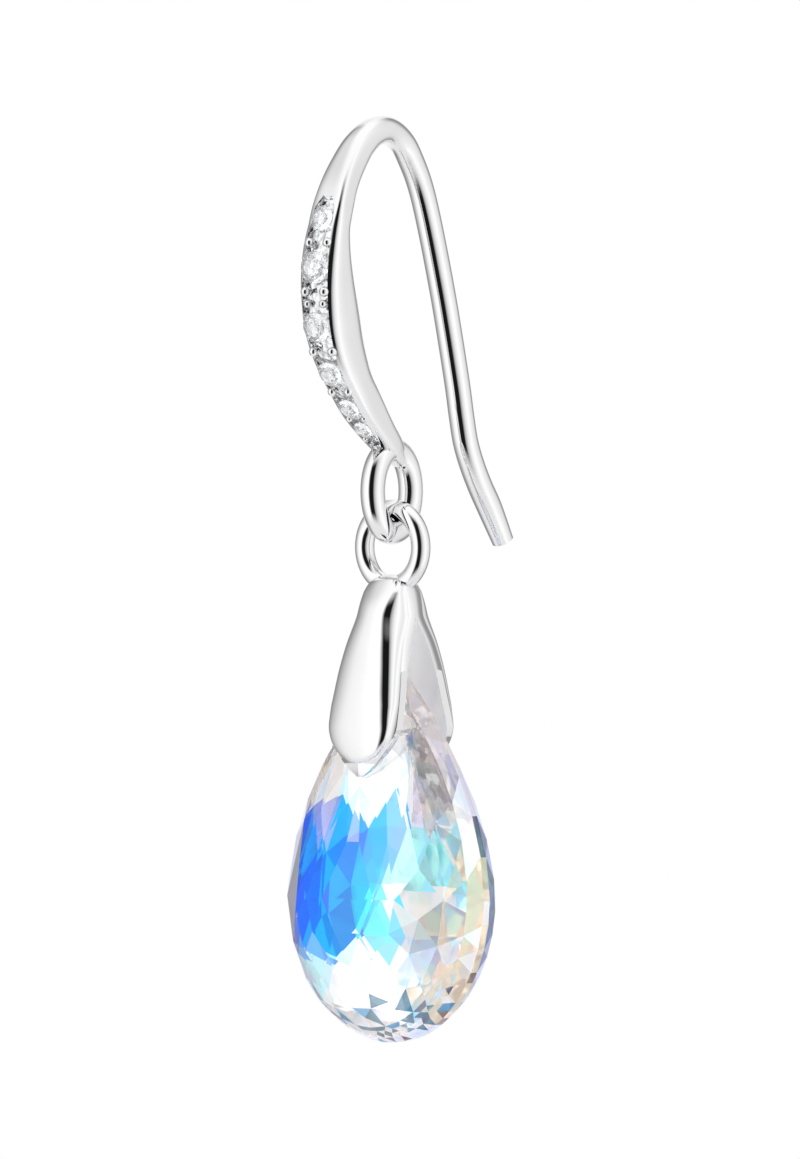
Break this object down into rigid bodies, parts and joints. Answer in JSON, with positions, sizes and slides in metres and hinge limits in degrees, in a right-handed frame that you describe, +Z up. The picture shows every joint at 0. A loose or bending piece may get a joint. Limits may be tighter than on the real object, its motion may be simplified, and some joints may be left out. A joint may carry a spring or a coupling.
{
  "type": "teardrop earring",
  "caption": "Silver ear-hook drop earring: flat-faced paved stem with a small eye, leaf-shaped bail on a ring, and a faceted pear-shaped iridescent stone.",
  "frame": {"origin": "on the inside of the ear hook's crown, at its middle, where the pierced ear lobe carries the earring", "axes": "+Z up with the drop hanging below, -Y out through the paved face, +Y towards the hook's free end, +X across the face; the earring is symmetric about x = 0"},
  "size_m": [0.0104, 0.0133, 0.0393],
  "materials": {
    "polished_silver": "polished",
    "clear_stones": "polished",
    "coated_crystal": "polished"
  },
  "bodies": {
    "hook": {"ear_hook": "polished_silver", "pave_stones": "clear_stones"},
    "bail": {"bail": "polished_silver", "bail_pin": "polished_silver"},
    "stone": {"crystal_drop": "coated_crystal"}
  },
  "joints": [
    {"name": "drop_swing", "type": "hinge", "parent": "hook", "child": "bail", "pos_m": [0, 0.00062, -0.01544], "axis": [1, 0, 0], "range_deg": [-45, 45]},
    {"name": "stone_rock", "type": "hinge", "parent": "bail", "child": "stone", "pos_m": [0, 0.00052, -0.02497], "axis": [0, 1, 0], "range_deg": [-20, 20]}
  ]
}
